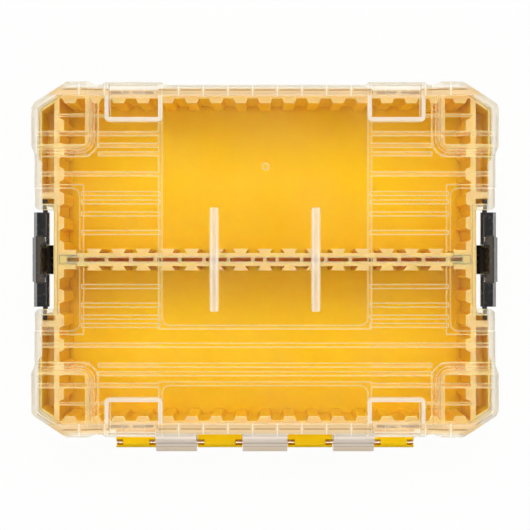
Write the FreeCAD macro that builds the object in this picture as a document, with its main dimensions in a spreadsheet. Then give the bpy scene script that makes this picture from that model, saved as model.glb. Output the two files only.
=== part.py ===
"""Bit case: a moulded tray with a clear hinged lid, two swing latches and a slide-in divider.

Lengths are millimetres.  X runs along the case, +Y points away from the hinge, +Z is up.
Every piece is drawn about the middle of the case and then moved along Y as a whole, so that the
origin lies under the middle of the box round everything, hinge included.
"""
import FreeCAD
import Part
import Sketcher
import os

SIZES = [
    # outline of the closed case
    ("case_length", 264.0, "over the corner bumpers, left to right"),
    ("case_depth", 201.0, "over the corner bumpers, without the hinge"),
    ("bumper_step", 1.4, "bumpers and pocket fronts stand proud of the sides"),
    ("bumper_x", 99.4, "corner bumper starts here, from the middle along X"),
    ("bumper_y", 64.1, "corner bumper starts here, from the middle along Y"),
    ("bumper_ramp", 3.9, "length of the ramp beside a bumper"),
    ("corner_cut_x", 19.8, "corner cut along X"),
    ("corner_cut_y", 13.0, "corner cut along Y"),
    ("corner_radius", 5.0, "rounding where the cut meets the sides"),
    # heights
    ("foot_height", 6.0, "stacking feet below the floor"),
    ("floor_thickness", 2.0, "tray floor"),
    ("rim_height", 47.0, "tray rim above the table"),
    ("skirt_overlap", 6.0, "lid skirt below the tray rim"),
    ("lid_rise", 10.5, "lid top above the tray rim"),
    ("lid_plate", 2.0, "thickness of the lid top"),
    ("lid_wall", 1.3, "thickness of the lid skirt"),
    ("lid_gap", 0.3, "room between lid and tray"),
    ("panel_depth", 1.2, "sunk panels of the lid top"),
    # tray walls
    ("base_wall", 1.0, "outer wall of the tray"),
    ("cell_width", 1.6, "hollow inside the long walls"),
    ("tray_wall", 2.4, "inner wall of the tray along the long sides"),
    ("end_wall", 3.0, "wall of the tray at the short sides"),
    ("base_chamfer", 2.0, "bevel round the tray bottom"),
    ("cell_depth", 30.0, "how deep that hollow goes"),
    ("cell_rib", 2.0, "cross ribs inside the long walls"),
    ("well_depth", 20.0, "open wells beside the short walls"),
    ("well_end", 3.6, "wall between a well and the latch notch"),
    ("ear_recess", 3.3, "recess in the tray beside a lid ear, along Y"),
    ("ear_recess_depth", 14.0, "how deep that recess goes"),
    # teeth
    ("tooth_pitch", 14.0, "spacing of all teeth"),
    ("wall_tooth_root", 8.7, "wall tooth, width at the wall"),
    ("wall_tooth_tip", 5.9, "wall tooth, width at its free end"),
    ("wall_tooth_depth", 2.7, "how far a wall tooth stands out"),
    ("divider_tooth_root", 4.8, "divider tooth, width at the divider"),
    ("divider_tooth_tip", 8.6, "divider tooth, width at its free end"),
    ("divider_tooth_depth", 2.4, "how far a divider tooth stands out"),
    # divider
    ("divider_thickness", 7.5, "over the two faces, without teeth"),
    ("divider_slot", 2.2, "hollow inside the divider"),
    ("slide_gap", 0.25, "room for the divider in its guides"),
    ("guide_room", 5.3, "room between the guide ribs"),
    ("guide_length", 9.7, "guide ribs that hold the divider ends"),
    ("guide_width", 2.9, "thickness of a guide rib"),
    # stacking pockets and feet
    ("stack_inner_x", 58.4, "pocket frame, side nearer the middle"),
    ("stack_outer_x", 90.9, "pocket frame, side nearer the corner"),
    ("stack_y", 78.5, "pocket frame, inner end"),
    ("stack_ramp", 1.4, "ramp beside a pocket front"),
    ("frame_wall", 2.2, "wall round a pocket"),
    ("frame_radius", 2.6, "corner rounding of a pocket frame"),
    ("pocket_floor", 1.5, "thickness of a pocket bottom"),
    ("pad_x", 75.5, "textured pad in a pocket, from the middle"),
    ("pad_length", 13.0, "that pad along X"),
    ("pad_width", 3.6, "that pad along Y"),
    ("pad_height", 0.15, "that pad above the pocket bottom"),
    ("stack_gap", 0.6, "room for a foot in a pocket"),
    # raised corner blocks of the lid
    ("block_x", 94.6, "corner block starts here, from the middle along X"),
    ("block_y", 58.2, "corner block starts here, from the middle along Y"),
    ("block_rise", 2.5, "corner blocks above the lid top"),
    ("block_slope", 5.8, "width of the slope round a corner block"),
    ("block_round", 13.0, "rounding where two slopes meet"),
    # lid top
    ("panel_bottom_y", 37.4, "lower edge of the middle panel, below the middle"),
    ("lower_panel_y", 71.5, "upper edge of the lower panel, below the middle"),
    ("side_panel_x", 105.0, "inner edge of the sunk panels at the latches"),
    ("side_panel_y", 40.5, "half length of the sunk panels at the latches"),
    ("panel_radius", 4.5, "corner rounding of the panels"),
    ("line_width", 2.2, "moulded lines on the lid"),
    ("line_height", 0.5, "moulded lines above the lid top"),
    ("line_1_y", 15.3, "first moulded line from the middle"),
    ("line_2_y", 25.8, "second moulded line"),
    ("line_3_y", 32.6, "third moulded line"),
    ("line_4_y", 37.3, "fourth moulded line"),
    ("rib_drop", 1.2, "stiffening ribs below the lid top"),
    ("side_rib_y", 48.6, "rib that runs to the sides, from the middle"),
    ("field_rib_1_y", 60.0, "first rib between the corner blocks"),
    ("field_rib_2_y", 64.8, "second rib between the corner blocks"),
    ("corner_rib_y", 71.4, "rib that crosses a corner block"),
    ("frame_rib_y", 81.6, "thin rib from a pocket frame to the tray wall"),
    ("frame_rib_width", 1.2, "that rib along Y"),
    ("fin_x", 28.9, "hold-down fins from the middle"),
    ("fin_width", 4.6, "thickness of a hold-down fin"),
    ("fin_length", 58.8, "length of a hold-down fin"),
    ("fin_radius", 1.6, "rounding of a fin's ends"),
    ("gate_x", 0.4, "gate mark from the middle along X"),
    ("gate_y", 52.7, "gate mark from the middle along Y"),
    ("gate_diameter", 3.8, "gate mark"),
    # hinge
    ("hinge_reach", 8.0, "hinge axis behind the tray wall"),
    ("hinge_drop", 0.8, "hinge axis below the skirt edge"),
    ("barrel_diameter", 9.6, "lid hinge barrels"),
    ("knuckle_diameter", 6.4, "tray hinge knuckles"),
    ("knuckle_gusset", 7.0, "support under a knuckle"),
    ("hinge_pin_diameter", 2.6, "hinge rod"),
    ("pin_clearance", 0.06, "radial room round every pin"),
    ("centre_barrel", 25.6, "width of the middle barrel"),
    ("inner_knuckle", 25.7, "width of the knuckles beside it"),
    ("side_barrel", 23.3, "width of the outer barrels"),
    ("end_knuckle", 23.0, "width of the end knuckles"),
    ("hinge_gap", 0.35, "room between barrel and knuckle"),
    ("window_width", 3.9, "openings at the ends of a knuckle that show the pin"),
    ("window_margin", 0.4, "room beside the pin in such an opening"),
    # latch and its notch
    ("latch_recess", 10.7, "notch in the lid side"),
    ("latch_length", 53.8, "latch along Y"),
    ("latch_end_gap", 1.2, "room at each end of a latch"),
    ("ear_wall", 3.3, "lid wall that carries a latch pin"),
    ("ear_radius", 3.0, "rounding of an ear's outer corner"),
    ("tray_notch_x", 121.0, "outer face of the tray wall behind a latch"),
    ("latch_axis_inset", 4.9, "latch pin inward of the lid side"),
    ("latch_axis_drop", 8.0, "latch pin below the lid top"),
    ("latch_pin_diameter", 2.8, "latch stub pins"),
    ("latch_pin_grip", 9.0, "pin length inside the latch"),
    ("latch_pin_tail", 3.0, "pin length past the ear"),
    ("bar_radius", 2.4, "rounded inner side of the latch bar"),
    ("bar_reach", 6.2, "latch bar outward of the pin"),
    ("bar_rise", 3.0, "latch bar above the pin"),
    ("bar_round", 1.4, "rounding of the outer bar edges"),
    # finger grip of the latch
    ("grip_width", 25.4, "raised finger grip along Y"),
    ("grip_reach", 7.2, "finger grip outward of the pin"),
    ("grip_length", 27.0, "finger grip below the pin"),
    ("grip_plate", 4.8, "thickness of the finger grip"),
    ("grip_tail", 5.4, "tapered lower end of the grip"),
    ("grip_lip", 1.9, "flat lip at the lower end"),
    ("grip_dish", 0.8, "depth of the finger hollow"),
    ("dish_start", 6.8, "finger hollow above the lower end"),
    ("dish_length", 6.7, "finger hollow along Z"),
    ("dish_ramp", 8.1, "slope above the finger hollow"),
    # hook and catch
    ("hook_width", 17.0, "hook and the hollow above it"),
    ("hook_drop", 18.8, "hook tip below the pin"),
    ("hook_tip", 2.7, "hook tip inward of the pin"),
    ("hook_nose", 1.8, "thickness of the hook's upturned nose"),
    ("hook_step", 1.4, "nose above the floor of the hollow"),
    ("hook_cheek", 1.6, "side walls of the hollow"),
    ("hook_thickness", 2.6, "floor of the hollow"),
    ("slit_length", 2.4, "slit beside the hollow, along Y"),
    ("slit_width", 1.4, "slit beside the hollow, along X"),
    ("catch_reach", 1.6, "catch on the tray wall"),
    ("catch_width", 19.0, "catch along Y"),
    ("catch_height", 3.4, "catch along Z"),
    ("catch_room", 0.7, "hook tip below the catch when unlatched"),
]

# small overlap that makes a joined shape bite into its wall, and a cut run clear of its surface
BITE = "0.4"
CLEAR = "1"

doc = FreeCAD.newDocument("bit_case")
sheet = doc.addObject("Spreadsheet::Sheet", "Dims")
for row, (alias, number, meaning) in enumerate(SIZES, 1):
    sheet.set(f"A{row}", alias)
    sheet.set(f"B{row}", str(number))
    sheet.set(f"C{row}", meaning)
    sheet.setAlias(f"B{row}", alias)
doc.recompute()


def dim(alias):
    """Text that stands for one named size."""
    return f"Dims.{alias}"


def value(text):
    """Number that a size text comes to now."""
    return float(sheet.evalExpression(text))


def minus(text):
    return f"-({text})"


# outline
HALF_X = f"({dim('case_length')} / 2)"
HALF_Y = f"({dim('case_depth')} / 2)"
SIDE_X = f"({HALF_X} - {dim('bumper_step')})"
SIDE_Y = f"({HALF_Y} - {dim('bumper_step')})"
RAMP_X = f"({dim('bumper_x')} - {dim('bumper_ramp')})"
RAMP_Y = f"({dim('bumper_y')} - {dim('bumper_ramp')})"
BLOCK_X = dim("block_x")
BLOCK_Y = dim("block_y")
LID_INSET = f"({dim('bumper_step')} + {dim('lid_wall')})"
BASE_INSET = f"({LID_INSET} + {dim('lid_gap')})"
BASE_X = f"({HALF_X} - {BASE_INSET})"
BASE_Y = f"({HALF_Y} - {BASE_INSET})"
WELL_INSET = f"({BASE_INSET} + {dim('base_wall')})"
CUT_X = dim("corner_cut_x")
CUT_Y = dim("corner_cut_y")
CUT_LENGTH = f"sqrt({CUT_X} ^ 2 + {CUT_Y} ^ 2)"

# latch notch
LID_NOTCH_X = f"({SIDE_X} - {dim('latch_recess')})"
LID_NOTCH_Y = f"({dim('latch_length')} / 2 + {dim('latch_end_gap')})"
EAR_Y = f"({LID_NOTCH_Y} + {dim('ear_wall')})"
BASE_NOTCH_X = dim("tray_notch_x")
BASE_NOTCH_Y = f"({EAR_Y} + {dim('lid_gap')})"
RECESS_Y = f"({BASE_NOTCH_Y} + {dim('ear_recess')})"
LATCH_X = f"({SIDE_X} - {dim('latch_axis_inset')})"

# inside of the tray
TRAY_X = f"({BASE_NOTCH_X} - {dim('end_wall')})"
CELL_OUT_Y = f"({BASE_Y} - {dim('base_wall')})"
CELL_IN_Y = f"({CELL_OUT_Y} - {dim('cell_width')})"
TRAY_Y = f"({CELL_IN_Y} - {dim('tray_wall')})"
PITCH = dim("tooth_pitch")
CELL_LENGTH = f"({PITCH} - {dim('cell_rib')})"
GUIDE_END_X = f"({TRAY_X} - {dim('guide_length')})"
GUIDE_IN_Y = f"({dim('guide_room')} / 2)"

# levels
FOOT = dim("foot_height")
FLOOR = f"({FOOT} + {dim('floor_thickness')})"
RIM = dim("rim_height")
SKIRT = f"({RIM} - {dim('skirt_overlap')})"
SEAT = f"({RIM} + {dim('lid_gap')})"
LID_TOP = f"({RIM} + {dim('lid_rise')})"
LID_UNDER = f"({LID_TOP} - {dim('lid_plate')})"
PANEL_TOP = f"({LID_TOP} - {dim('panel_depth')})"
PANEL_UNDER = f"({PANEL_TOP} - {dim('lid_plate')})"
BLOCK_TOP = f"({LID_TOP} + {dim('block_rise')})"
BLOCK_UNDER = f"({BLOCK_TOP} - {dim('lid_plate')})"
HINGE_Y = f"(-{BASE_Y} - {dim('hinge_reach')})"
HINGE_Z = f"({SKIRT} - {dim('hinge_drop')})"
LATCH_Z = f"({LID_TOP} - {dim('latch_axis_drop')})"
CATCH_Z = f"({LATCH_Z} - {dim('hook_drop')} + {dim('catch_room')})"

# hinge stations along X, from the middle outwards
BARREL_1 = f"({dim('centre_barrel')} / 2)"
KNUCKLE_1 = f"({BARREL_1} + {dim('hinge_gap')})"
KNUCKLE_1_END = f"({KNUCKLE_1} + {dim('inner_knuckle')})"
BARREL_2 = f"({KNUCKLE_1_END} + {dim('hinge_gap')})"
BARREL_2_END = f"({BARREL_2} + {dim('side_barrel')})"
KNUCKLE_2 = f"({BARREL_2_END} + {dim('hinge_gap')})"
KNUCKLE_2_END = f"({KNUCKLE_2} + {dim('end_knuckle')})"

# inside of the lid: skirt face, start of the deeper fields, and the hollow under a corner block
LID_INNER_X = f"({HALF_X} - {LID_INSET})"
FIELD_IN = f"({dim('stack_inner_x')} + {dim('lid_plate')})"
BLOCK_IN_X = f"({BLOCK_X} + {dim('block_slope')} + {dim('lid_plate')} / 2)"
BLOCK_IN_Y = f"({BLOCK_Y} + {dim('block_slope')} + {dim('lid_plate')} / 2)"

# the whole case moves by this along Y, so that the box round it is centred
CENTRE_SHIFT = f"((-{HINGE_Y} + {dim('barrel_diameter')} / 2 - {HALF_Y}) / 2)"


def corner(inset):
    """The two ends of a corner cut, for an outline set in from the bumpers by that much."""
    end_x = f"({HALF_X} - {CUT_X} - {inset} * ({CUT_LENGTH} - {CUT_X}) / {CUT_Y})"
    end_y = f"({HALF_Y} - {CUT_Y} - {inset} * ({CUT_LENGTH} - {CUT_Y}) / {CUT_X})"
    return [(end_x, f"({HALF_Y} - {inset})"), (f"({HALF_X} - {inset})", end_y)]


def cut_line_y(inset, x_text):
    """Y of the set-in corner cut at a given X."""
    return f"({HALF_Y} - {CUT_Y} + ({CUT_Y} * ({HALF_X} - {x_text}) - {inset} * {CUT_LENGTH}) / {CUT_X})"


def mirrored(points, flip_x, flip_y):
    return [(minus(x) if flip_x else x, minus(y) if flip_y else y) for x, y in points]


def four_sides(quarter):
    """Closed outline from the corner points of its upper right quarter, read clockwise."""
    return (quarter + mirrored(quarter[::-1], False, True) + mirrored(quarter, True, True)
            + mirrored(quarter[::-1], True, False))


def four_copies(loop):
    return [mirrored(loop, flip_x, flip_y) for flip_x in (False, True) for flip_y in (False, True)]


def left_and_right(loop):
    return [mirrored(loop, flip_x, False) for flip_x in (False, True)]


def front_and_back(loop):
    return [mirrored(loop, False, flip_y) for flip_y in (False, True)]


def rectangle(x_low, y_low, x_high, y_high):
    return [(x_low, y_low), (x_high, y_low), (x_high, y_high), (x_low, y_high)]


def centred(half_x, half_y):
    return rectangle(minus(half_x), minus(half_y), half_x, half_y)


def new_body(name):
    body = doc.addObject("PartDesign::Body", name)
    body.Label = name
    body.setExpression("Placement.Base.y", CENTRE_SHIFT)
    return body


def origin_part(body, role):
    return next(item for item in body.Origin.OriginFeatures if item.Role == role)


def draw(body, name, plane, level, loops, circles):
    """Sketch of closed loops (corner points) and circles (x, y, diameter), every size held by a text."""
    sketch = body.newObject("Sketcher::SketchObject", name)
    sketch.AttachmentSupport = [(origin_part(body, plane), "")]
    sketch.MapMode = "FlatFace"
    sketch.setExpression("AttachmentOffset.Base.z", level)
    constraints = []
    texts = {}

    def hold(kind, place, text):
        texts[len(constraints)] = text
        constraints.append(Sketcher.Constraint(kind, *place, value(text)))

    for loop in loops:
        first = sketch.GeometryCount
        count = len(loop)
        points = [FreeCAD.Vector(value(x), value(y), 0) for x, y in loop]
        sketch.addGeometry([Part.LineSegment(points[i - 1], points[i]) for i in range(count)], False)
        for i, (x, y) in enumerate(loop):
            constraints.append(Sketcher.Constraint("Coincident", first + i, 2, first + (i + 1) % count, 1))
            hold("DistanceX", (-1, 1, first + i, 2), x)
            hold("DistanceY", (-1, 1, first + i, 2), y)
    for x, y, diameter in circles:
        centre = FreeCAD.Vector(value(x), value(y), 0)
        edge = sketch.addGeometry(Part.Circle(centre, FreeCAD.Vector(0, 0, 1), value(diameter) / 2), False)
        hold("DistanceX", (-1, 1, edge, 3), x)
        hold("DistanceY", (-1, 1, edge, 3), y)
        hold("Diameter", (edge,), diameter)
    sketch.addConstraint(constraints)
    for index, text in texts.items():
        sketch.setExpression(f"Constraints[{index}]", text)
    sketch.Visibility = False
    return sketch


def extrude(kind, body, name, plane, level, length, loops, circles, both_ways):
    sketch = draw(body, f"{name}_outline", plane, level, loops, circles)
    feature = body.newObject(f"PartDesign::{kind}", name)
    feature.Profile = sketch
    feature.setExpression("Length", length)
    feature.SideType = "Symmetric" if both_ways else "One side"
    return feature


def add(body, name, plane, level, length, loops=(), circles=(), both_ways=False):
    """Material from a level upwards, or the same length shared by both sides of it."""
    return extrude("Pad", body, name, plane, level, length, loops, circles, both_ways)


def cut(body, name, plane, level, length, loops=(), circles=(), both_ways=False):
    """Hollow from a level upwards, or the same length shared by both sides of it."""
    feature = extrude("Pocket", body, name, plane, level, length, loops, circles, both_ways)
    feature.Reversed = not both_ways
    return feature


def repeat(body, name, feature, axis, spacing, count):
    """Row of copies of a feature along an axis."""
    pattern = body.newObject("PartDesign::LinearPattern", name)
    pattern.Originals = [feature]
    pattern.Direction = (origin_part(body, axis), [""])
    pattern.Mode = "Spacing"
    pattern.setExpression("Offset", spacing)
    pattern.setExpression("Occurrences", count)
    body.Tip = pattern
    return pattern


def edges_of(feature, wanted):
    return [f"Edge{i}" for i, edge in enumerate(feature.Shape.Edges, 1) if wanted(edge)]


def ease(kind, body, name, size_property, size, wanted):
    """Rounding or bevel along the wanted edges of the body as it stands."""
    doc.recompute()
    below = body.Tip
    feature = body.newObject(f"PartDesign::{kind}", name)
    feature.Base = (below, edges_of(below, wanted))
    feature.setExpression(size_property, size)
    return feature


def upright_at(points, low, high):
    """Test for straight upright edges over any of these points, between two levels."""
    places = [(value(x), value(y)) for x, y in points]
    bottom = value(low) - 0.01
    top = value(high) + 0.01

    def wanted(edge):
        box = edge.BoundBox
        if box.XLength + box.YLength > 0.001 or box.ZMin < bottom or box.ZMax > top:
            return False
        return any(abs(box.XMin - x) + abs(box.YMin - y) < 0.01 for x, y in places)
    return wanted


def lying_at(level):
    """Test for edges that lie in one level."""
    height = value(level)
    return lambda edge: abs(edge.BoundBox.ZMin - height) + abs(edge.BoundBox.ZMax - height) < 0.001


def all_quarters(points):
    return [point for loop in four_copies(points) for point in loop]


def tooth(kind, centre, foot, direction):
    """Tooth of the wall or the divider seen from above; direction is the sign along Y."""
    half_root = f"{dim(f'{kind}_tooth_root')} / 2"
    half_tip = f"{dim(f'{kind}_tooth_tip')} / 2"
    root = f"({foot} - ({direction}) * {BITE})"
    tip = f"({foot} + ({direction}) * {dim(f'{kind}_tooth_depth')})"
    return [(f"{centre} - {half_root}", root), (f"{centre} - {half_tip}", tip),
            (f"{centre} + {half_tip}", tip), (f"{centre} + {half_root}", root)]


def turned(loop):
    """The same loop with X and Y exchanged."""
    return [(y, x) for x, y in loop]


def foot_loop():
    room = f"{dim('frame_wall')} + {dim('stack_gap')}"
    return rectangle(f"{dim('stack_inner_x')} + {room}", f"{dim('stack_y')} + {room}",
                     f"{dim('stack_outer_x')} - {room}", f"{BASE_Y} - {dim('base_chamfer')} - {BITE}")


def knuckle_windows():
    """Openings at both ends of every knuckle, through which the hinge pin shows."""
    half = f"({dim('hinge_pin_diameter')} / 2 + {dim('window_margin')})"
    y_low = f"{HINGE_Y} - {half}"
    y_high = f"{HINGE_Y} + {half}"
    width = dim("window_width")
    loops = []
    for start, end in ((KNUCKLE_1, KNUCKLE_1_END), (KNUCKLE_2, KNUCKLE_2_END)):
        loops += left_and_right(rectangle(f"{start} - {BITE} / 2", y_low, f"{start} + {width}", y_high))
        loops += left_and_right(rectangle(f"{end} - {width}", y_low, f"{end} + {BITE} / 2", y_high))
    return loops


def build_tray():
    body = new_body("base_tray")
    outline = corner(BASE_INSET) + [(BASE_X, BASE_NOTCH_Y), (BASE_NOTCH_X, BASE_NOTCH_Y)]
    add(body, "tray_block", "XY_Plane", FOOT, f"{RIM} - {FOOT}", [four_sides(outline)])
    ease("Fillet", body, "tray_corners", "Radius", dim("corner_radius"),
         upright_at(all_quarters(corner(BASE_INSET)), FOOT, RIM))
    ease("Chamfer", body, "tray_bottom_bevel", "Size", dim("base_chamfer"), lying_at(FOOT))

    # hollows: the tray, the corner wells, the recesses beside the lid ears, the cells of the long walls
    cut(body, "tray_hollow", "XY_Plane", FLOOR, f"{RIM} - {FLOOR} + {CLEAR}", [centred(TRAY_X, TRAY_Y)])
    well_side = corner(WELL_INSET)[1]
    well_start = f"{RECESS_Y} + {dim('well_end')}"
    well = [(BASE_NOTCH_X, well_start), (well_side[0], well_start), well_side,
            (BASE_NOTCH_X, cut_line_y(WELL_INSET, BASE_NOTCH_X))]
    cut(body, "corner_wells", "XY_Plane", f"{RIM} - {dim('well_depth')}", f"{dim('well_depth')} + {CLEAR}",
        four_copies(well))
    recess = rectangle(BASE_NOTCH_X, f"{BASE_NOTCH_Y} - {CLEAR}", f"{BASE_X} - {dim('base_wall')}", RECESS_Y)
    cut(body, "ear_recesses", "XY_Plane", f"{RIM} - {dim('ear_recess_depth')}",
        f"{dim('ear_recess_depth')} + {CLEAR}", four_copies(recess))
    cell_steps = f"floor(({corner(BASE_INSET)[0][0]} - {CELL_LENGTH} / 2) / {PITCH})"
    cell_x = f"-{cell_steps} * {PITCH}"
    cell = rectangle(f"{cell_x} - {CELL_LENGTH} / 2", CELL_IN_Y,
                     f"{cell_x} + {CELL_LENGTH} / 2", CELL_OUT_Y)
    first_cells = cut(body, "first_cells", "XY_Plane", f"{RIM} - {dim('cell_depth')}",
                      f"{dim('cell_depth')} + {CLEAR}", front_and_back(cell))
    repeat(body, "wall_cells", first_cells, "X_Axis", PITCH, f"2 * {cell_steps} + 1")

    # teeth on the long walls, then on the short walls
    steps_x = f"floor(({TRAY_X} - {dim('wall_tooth_root')} / 2) / {PITCH})"
    long_teeth = front_and_back(tooth("wall", f"-{steps_x} * {PITCH}", TRAY_Y, "-1"))
    first_long = add(body, "first_long_teeth", "XY_Plane", FLOOR, f"{RIM} - {FLOOR}", long_teeth)
    repeat(body, "long_wall_teeth", first_long, "X_Axis", PITCH, f"2 * {steps_x} + 1")
    free_y = f"({TRAY_Y} - {dim('wall_tooth_depth')} - {dim('wall_tooth_root')} / 2)"
    steps_y = f"floor({free_y} / {PITCH} + 0.5)"
    short_tooth = turned(tooth("wall", f"-({steps_y} - 0.5) * {PITCH}", TRAY_X, "-1"))
    first_short = add(body, "first_short_teeth", "XY_Plane", FLOOR, f"{RIM} - {FLOOR}",
                      left_and_right(short_tooth))
    repeat(body, "short_wall_teeth", first_short, "Y_Axis", PITCH, f"2 * {steps_y}")
    guide = rectangle(GUIDE_END_X, GUIDE_IN_Y,
                      f"{TRAY_X} + {BITE}", f"{GUIDE_IN_Y} + {dim('guide_width')}")
    add(body, "divider_guides", "XY_Plane", FLOOR, f"{RIM} - {FLOOR}", four_copies(guide))

    # catches for the latch hooks, sloped on top
    catch_x = f"{BASE_NOTCH_X} + {dim('catch_reach')}"
    catch = [(f"{BASE_NOTCH_X} - {BITE}", CATCH_Z), (catch_x, CATCH_Z),
             (catch_x, f"{CATCH_Z} + {dim('catch_height')} / 2"),
             (f"{BASE_NOTCH_X} - {BITE}", f"{CATCH_Z} + {dim('catch_height')}")]
    add(body, "catches", "XZ_Plane", "0", dim("catch_width"), left_and_right(catch), both_ways=True)

    add(body, "feet", "XY_Plane", "0", f"{FOOT} + {BITE}", four_copies(foot_loop()))

    # hinge knuckles: one long bar, parted where the lid barrels run
    radius = f"({dim('knuckle_diameter')} / 2)"
    length = f"2 * {KNUCKLE_2_END}"
    wall = f"-{BASE_Y} + {BITE}"
    add(body, "knuckle_bar", "YZ_Plane", "0", length, both_ways=True,
        circles=[(HINGE_Y, HINGE_Z, dim("knuckle_diameter"))])
    web = [(HINGE_Y, f"{HINGE_Z} - {radius}"), (wall, f"{HINGE_Z} - {radius} - {dim('knuckle_gusset')}"),
           (wall, f"{HINGE_Z} + {radius}"), (HINGE_Y, f"{HINGE_Z} + {radius}")]
    add(body, "knuckle_web", "YZ_Plane", "0", length, [web], both_ways=True)
    behind = f"{HINGE_Y} - {radius} - {CLEAR}"
    barrel_room = left_and_right(rectangle(KNUCKLE_1_END, behind, KNUCKLE_2, minus(BASE_Y)))
    barrel_room.append(rectangle(minus(KNUCKLE_1), behind, KNUCKLE_1, minus(BASE_Y)))
    cut(body, "barrel_room", "XY_Plane", f"{HINGE_Z} - {radius} - {dim('knuckle_gusset')} - {CLEAR}",
        f"{dim('knuckle_diameter')} + {dim('knuckle_gusset')} + 2 * {CLEAR}", barrel_room)
    cut(body, "knuckle_bore", "YZ_Plane", "0", f"{length} + {CLEAR}", both_ways=True,
        circles=[(HINGE_Y, HINGE_Z, f"{dim('hinge_pin_diameter')} + 2 * {dim('pin_clearance')}")])
    cut(body, "knuckle_windows", "XY_Plane", f"{HINGE_Z} - {dim('hinge_pin_diameter')} / 4",
        f"{radius} + {CLEAR}", knuckle_windows())
    return body


def build_divider():
    body = new_body("centre_divider")
    half = f"({dim('divider_thickness')} / 2)"
    end_x = f"({GUIDE_END_X} - {dim('slide_gap')})"
    height = f"{RIM} - {FLOOR}"
    add(body, "divider_block", "XY_Plane", FLOOR, height, [centred(end_x, half)])
    tongue = centred(f"({TRAY_X} - {dim('slide_gap')})", f"({GUIDE_IN_Y} - {dim('slide_gap')})")
    add(body, "divider_tongues", "XY_Plane", FLOOR, height, [tongue])

    steps = f"floor(({end_x} - {CELL_LENGTH} / 2) / {PITCH})"
    first_x = f"-{steps} * {PITCH}"
    slot_half = f"{dim('divider_slot')} / 2"
    slot = rectangle(f"{first_x} - {CELL_LENGTH} / 2", f"-{slot_half}",
                     f"{first_x} + {CELL_LENGTH} / 2", slot_half)
    first_slot = cut(body, "first_slot", "XY_Plane", f"{RIM} - {dim('cell_depth')}",
                     f"{dim('cell_depth')} + {CLEAR}", [slot])
    repeat(body, "divider_slots", first_slot, "X_Axis", PITCH, f"2 * {steps} + 1")
    middle_rib = centred(f"({dim('cell_rib')} / 2)", f"({slot_half} + {BITE})")
    add(body, "middle_rib", "XY_Plane", FLOOR, height, [middle_rib])

    first_teeth = add(body, "first_teeth", "XY_Plane", FLOOR, height,
                      front_and_back(tooth("divider", first_x, half, "1")))
    repeat(body, "divider_teeth", first_teeth, "X_Axis", PITCH, f"2 * {steps} + 1")
    return body


def lid_outline():
    ramp = dim("stack_ramp")
    return four_sides(
        [(f"{dim('stack_inner_x')} - {ramp}", SIDE_Y), (dim("stack_inner_x"), HALF_Y),
         (dim("stack_outer_x"), HALF_Y), (f"{dim('stack_outer_x')} + {ramp}", SIDE_Y),
         (RAMP_X, SIDE_Y), (dim("bumper_x"), HALF_Y)]
        + corner("0")
        + [(HALF_X, dim("bumper_y")), (SIDE_X, RAMP_Y), (SIDE_X, LID_NOTCH_Y), (LID_NOTCH_X, LID_NOTCH_Y)])


def band(x_low, x_high, y_middle, width):
    """Strip along X."""
    return rectangle(x_low, f"{y_middle} - {width} / 2", x_high, f"{y_middle} + {width} / 2")


def raise_corner_blocks(body):
    """Corner blocks above the lid top, with a slope on their two inner sides and a round ridge between."""
    block = ([(BLOCK_X, BLOCK_Y), (BLOCK_X, SIDE_Y), (RAMP_X, SIDE_Y), (dim("bumper_x"), HALF_Y)]
             + corner("0")
             + [(HALF_X, dim("bumper_y")), (SIDE_X, RAMP_Y), (SIDE_X, BLOCK_Y)])
    add(body, "corner_blocks", "XY_Plane", LID_TOP, dim("block_rise"), four_copies(block))
    slope = dim("block_slope")
    over = f"{BLOCK_TOP} + {CLEAR}"
    for name, plane, start, far in (("slope_x", "XZ_Plane", BLOCK_X, HALF_Y),
                                    ("slope_y", "YZ_Plane", BLOCK_Y, HALF_X)):
        inner = f"{start} + {slope}"
        wedge = [(start, LID_TOP), (inner, BLOCK_TOP), (inner, over), (start, over)]
        cut(body, name, plane, "0", f"2 * {far} + {CLEAR}", left_and_right(wedge), both_ways=True)
    run = value(slope)
    rise = value(dim("block_rise"))

    def is_ridge(edge):
        box = edge.BoundBox
        return abs(box.XLength - run) + abs(box.YLength - run) + abs(box.ZLength - rise) < 0.01
    ease("Fillet", body, "block_ridges", "Radius", dim("block_round"), is_ridge)
    ease("Fillet", body, "lid_corners", "Radius", dim("corner_radius"),
         upright_at(all_quarters(corner("0")), SKIRT, BLOCK_TOP))


def sink_panels(body):
    """Sunk panels of the lid top: middle, lower and one round each latch."""
    beyond_y = f"{HALF_Y} + {CLEAR}"
    inner_x = dim("stack_inner_x")
    middle = rectangle(minus(inner_x), minus(dim("panel_bottom_y")), inner_x, beyond_y)
    lower = rectangle(minus(inner_x), minus(beyond_y), inner_x, minus(dim("lower_panel_y")))
    side = rectangle(dim("side_panel_x"), minus(dim("side_panel_y")),
                     f"{HALF_X} + {CLEAR}", dim("side_panel_y"))
    cut(body, "panels", "XY_Plane", PANEL_TOP, f"{dim('panel_depth')} + {CLEAR}",
        [middle, lower] + left_and_right(side))
    corners = middle[:2] + lower[2:] + all_quarters([(dim("side_panel_x"), dim("side_panel_y"))])
    ease("Fillet", body, "panel_corners", "Radius", dim("panel_radius"),
         upright_at(corners, PANEL_TOP, LID_TOP))


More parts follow.
